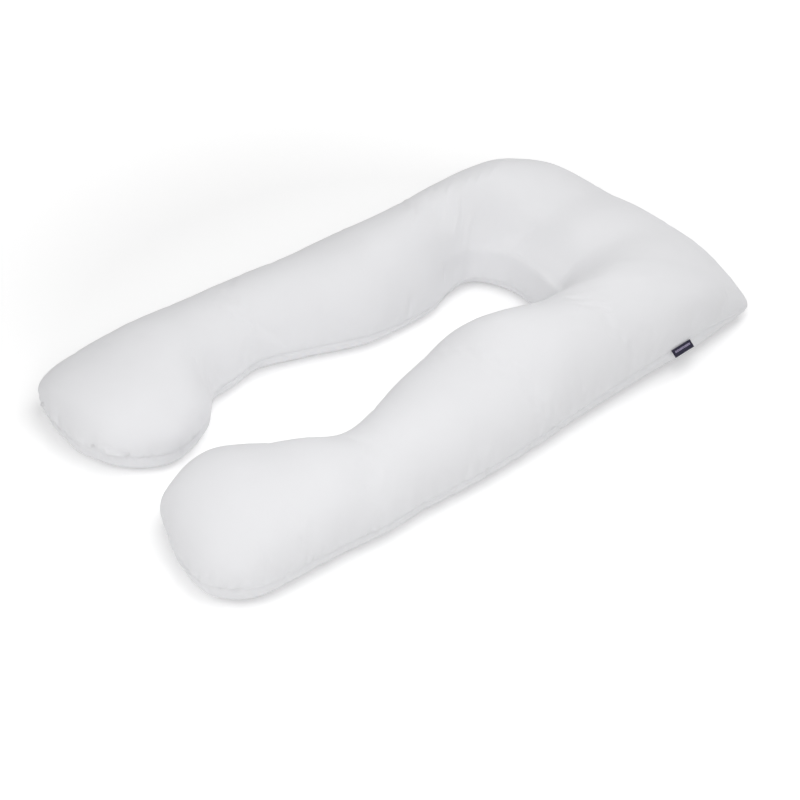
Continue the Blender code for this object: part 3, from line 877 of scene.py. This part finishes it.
def makeTag():
    # the label's tape: its back, its front and the rim between them
    along = crowded(tag["spans"][0], tag["length"]) - tag["length"] / 2
    out = crowded(tag["spans"][1], tag["height"])
    back, _ = tagSheet(along, out)
    front, _ = tagFront(along, out)
    rows, columns = back.shape[:2]
    count = rows * columns
    faces = np.vstack([gridFaces(rows, columns), gridFaces(rows, columns, count, True)]).tolist()
    index = np.arange(count).reshape(rows, columns)
    rim = np.concatenate([index[:, 0], index[-1, 1:], index[-2::-1, -1], index[0, -2:0:-1]]).tolist()
    faces += [(a, b, b + count, a + count) for a, b in zip(rim, rim[1:] + rim[:1])]
    mesh = bpy.data.meshes.new("wovenLabel")
    mesh.from_pydata(np.vstack([back.reshape(-1, 3), front.reshape(-1, 3)]).tolist(), [], faces)
    grid = np.dstack(np.meshgrid(along, out, indexing="ij")).reshape(-1, 2)
    grid = np.vstack([grid, grid])
    loops = np.empty(len(mesh.loops), np.int32)
    mesh.loops.foreach_get("vertex_index", loops)
    mesh.uv_layers.new(name="face").data.foreach_set("uv", grid[loops].astype(np.float32).ravel())
    work = bmesh.new()
    work.from_mesh(mesh)
    bmesh.ops.recalc_face_normals(work, faces=work.faces)
    work.to_mesh(mesh)
    work.free()
    mesh.shade_smooth()
    mesh.set_sharp_from_angle(angle=math.radians(tag["smoothAngle"]))
    mesh.materials.append(tagMaterial())
    return shown("wovenLabel", mesh)


def threadTree():
    # a row of small raised threads laid end to end along a path
    tree = bpy.data.node_groups.new("threadRow", "GeometryNodeTree")
    sockets = tree.interface
    sockets.new_socket("Path", in_out="INPUT", socket_type="NodeSocketGeometry")
    for name in ("Pitch", "Length", "Width", "Rise"):
        sockets.new_socket(name, in_out="INPUT", socket_type="NodeSocketFloat")
    sockets.new_socket("Thread", in_out="INPUT", socket_type="NodeSocketMaterial")
    sockets.new_socket("Row", in_out="OUTPUT", socket_type="NodeSocketGeometry")
    given = added(tree, "NodeGroupInput")
    made = added(tree, "NodeGroupOutput")
    path = added(tree, "GeometryNodeMeshToCurve")
    spaced = added(tree, "GeometryNodeResampleCurve", mode="LENGTH")
    ball = added(tree, "GeometryNodeMeshUVSphere", {"Segments": 10, "Rings": 6, "Radius": 0.5})
    size = added(tree, "ShaderNodeCombineXYZ")
    shape = added(tree, "GeometryNodeTransform")
    tangent = added(tree, "GeometryNodeInputTangent")
    outward = added(tree, "GeometryNodeInputNamedAttribute", data_type="FLOAT_VECTOR")
    outward.inputs["Name"].default_value = "outward"
    onPath = added(tree, "FunctionNodeAlignRotationToVector", axis="X")
    facing = added(tree, "FunctionNodeAlignRotationToVector", axis="Z", pivot_axis="X")
    laid = added(tree, "GeometryNodeInstanceOnPoints")
    real = added(tree, "GeometryNodeRealizeInstances")
    smooth = added(tree, "GeometryNodeSetShadeSmooth")
    thread = added(tree, "GeometryNodeSetMaterial")
    wires = [
        (given, "Path", path, "Mesh"), (path, "Curve", spaced, "Curve"),
        (given, "Pitch", spaced, "Length"), (given, "Length", size, "X"),
        (given, "Width", size, "Y"), (given, "Rise", size, "Z"),
        (ball, "Mesh", shape, "Geometry"), (size, "Vector", shape, "Scale"),
        (tangent, "Tangent", onPath, "Vector"), (onPath, "Rotation", facing, "Rotation"),
        (outward, "Attribute", facing, "Vector"), (spaced, "Curve", laid, "Points"),
        (shape, "Geometry", laid, "Instance"), (facing, "Rotation", laid, "Rotation"),
        (laid, "Instances", real, "Geometry"), (real, "Geometry", smooth, "Geometry"),
        (smooth, "Geometry", thread, "Geometry"), (given, "Thread", thread, "Material"),
        (thread, "Geometry", made, "Row"),
    ]
    for start, output, end, socket in wires:
        tree.links.new(start.outputs[output], end.inputs[socket])
    return tree


def threadRow(name, tree, paths, material, sizes):
    # threads on the label's front along paths, each given as places along the seam and out from it
    points, outward, edges = [], [], []
    for along, out in paths:
        line, normal = tagLine(along, out)
        start = len(points)
        points += line.tolist()
        outward += normal.tolist()
        edges += [(start + i, start + i + 1) for i in range(len(line) - 1)]
    mesh = bpy.data.meshes.new(name + "Path")
    mesh.from_pydata(points, edges, [])
    mesh.attributes.new("outward", "FLOAT_VECTOR", "POINT")
    mesh.attributes["outward"].data.foreach_set("vector", np.array(outward, np.float32).ravel())
    item = shown(name, mesh)
    row = item.modifiers.new("row", "NODES")
    row.node_group = tree
    values = {"Thread": material, **sizes}
    for socket in tree.interface.items_tree:
        if socket.in_out == "INPUT" and socket.name in values:
            row[socket.identifier] = values[socket.name]
    evaluated = item.evaluated_get(bpy.context.evaluated_depsgraph_get())
    plain = bpy.data.meshes.new_from_object(evaluated)
    item.modifiers.clear()
    item.data = plain
    plain.name = name
    bpy.data.meshes.remove(mesh)
    return item


def makeTagThreads():
    tree = threadTree()
    half, tall = tag["length"] / 2, tag["height"]
    darkColor = [c * stitching["lighter"] for c in tag["color"]]
    dark = shaderOf("tape thread", darkColor, threadRoughness, threadSheen)[0]
    pale = shaderOf("pale thread", marking["color"], threadRoughness, threadSheen)[0]
    across = np.linspace(stitching["fromEdge"], tall - stitching["fromEdge"], stitching["points"])
    places = (stitching["fromEnd"] - half, half - stitching["fromEnd"])
    ends = [(np.array([place]), across) for place in places]
    stitches = threadRow("labelStitches", tree, ends, dark, stitching["sizes"])
    step = tag["length"] * marking["rowLength"] / marking["count"]
    wide = step * marking["halfWidth"]
    lines = []
    for middle in (np.arange(marking["count"]) - (marking["count"] - 1) / 2) * step:
        along = np.linspace(middle - wide, middle + wide, marking["points"])
        for line in range(marking["lines"]):
            out = tall * marking["rowHeight"] + (line - marking["lines"] // 2) * marking["linePitch"]
            lines.append((along, np.array([out])))
    marks = threadRow("labelMarks", tree, lines, pale, marking["sizes"])
    return stitches, marks


wovenLabel = makeTag()
for piece in (wovenLabel, *makeTagThreads()):
    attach(piece, "root")
    if piece is wovenLabel:
        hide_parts("label")
print("label made")


studio = {
    "floorSize": 30,
    "floorShade": 0.90,
    "floorRoughness": 0.95,
    "floorGlow": (0.17, 0.75),     # near the pillow and far from it
    "glowFrom": (0.75, 1.9),       # where the far glow starts and where it is full
    "worldStrength": 0.387,
    "lamps": {                     # place, size across and power of each soft box
        "top": ((0.2, 0.2, 2.4), 1.6, 16.2),
        "right": ((1.0, -0.5, 1.7), 1.2, 8.7),
        "head": ((0.0, 1.5, 1.2), 1.0, 5.4),
        "front": ((3.0, -2.4, 2.4), 1.6, 22.4),
        "ends": ((0.0, -1.4, 1.0), 1.0, 3.6),
    },
    "lampsAim": (0.0, -0.1, 0.1),
    "lens": 110.7,
    "azimuth": 50.783,
    "elevation": 38.091,
    "distance": 5.082,
    "target": (0.0674, -0.0647, 0.0),
}


def makeStudio():
    # a pale floor that glows more away from the pillow, a white world and five soft boxes
    bpy.ops.mesh.primitive_plane_add(size=studio["floorSize"], location=(0, 0, 0))
    floor = bpy.context.object
    floor.name = "floor"
    shade = (studio["floorShade"],) * 3
    material, tree, shader = shaderOf("studio floor", shade, studio["floorRoughness"], 0.0)
    shader.inputs["Emission Color"].default_value = (1, 1, 1, 1)
    place = added(tree, "ShaderNodeTexCoord")
    away = added(tree, "ShaderNodeVectorMath", operation="LENGTH")
    glow = added(tree, "ShaderNodeMapRange")
    glow.inputs["From Min"].default_value, glow.inputs["From Max"].default_value = studio["glowFrom"]
    glow.inputs["To Min"].default_value, glow.inputs["To Max"].default_value = studio["floorGlow"]
    tree.links.new(place.outputs["Object"], away.inputs[0])
    tree.links.new(away.outputs["Value"], glow.inputs["Value"])
    tree.links.new(glow.outputs["Result"], shader.inputs["Emission Strength"])
    floor.data.materials.append(material)
    world = bpy.data.worlds.new("studio")
    scene.world = world
    world.use_nodes = True
    sky = world.node_tree.nodes["Background"]
    sky.inputs["Color"].default_value = (1, 1, 1, 1)
    sky.inputs["Strength"].default_value = studio["worldStrength"]
    for name, (place, size, power) in studio["lamps"].items():
        light = bpy.data.lights.new(name, "AREA")
        light.energy = power
        light.size = size
        lamp = bpy.data.objects.new(name, light)
        lamp.location = place
        aim = lamp.location - Vector(studio["lampsAim"])
        lamp.rotation_euler = aim.to_track_quat("Z", "Y").to_euler()
        lamp.visible_camera = False
        scene.collection.objects.link(lamp)
    scene.view_settings.view_transform = "Standard"


def makeCamera():
    # a long lens that looks at the target from azimuth and elevation, in degrees
    azimuth, elevation = math.radians(studio["azimuth"]), math.radians(studio["elevation"])
    back = Vector((math.sin(azimuth) * math.cos(elevation), -math.cos(azimuth) * math.cos(elevation),
                   math.sin(elevation)))
    data = bpy.data.cameras.new("camera")
    data.lens = studio["lens"]
    camera = bpy.data.objects.new("camera", data)
    camera.location = Vector(studio["target"]) + studio["distance"] * back
    camera.rotation_euler = back.to_track_quat("Z", "Y").to_euler()
    scene.collection.objects.link(camera)
    scene.camera = camera


makeStudio()
makeCamera()
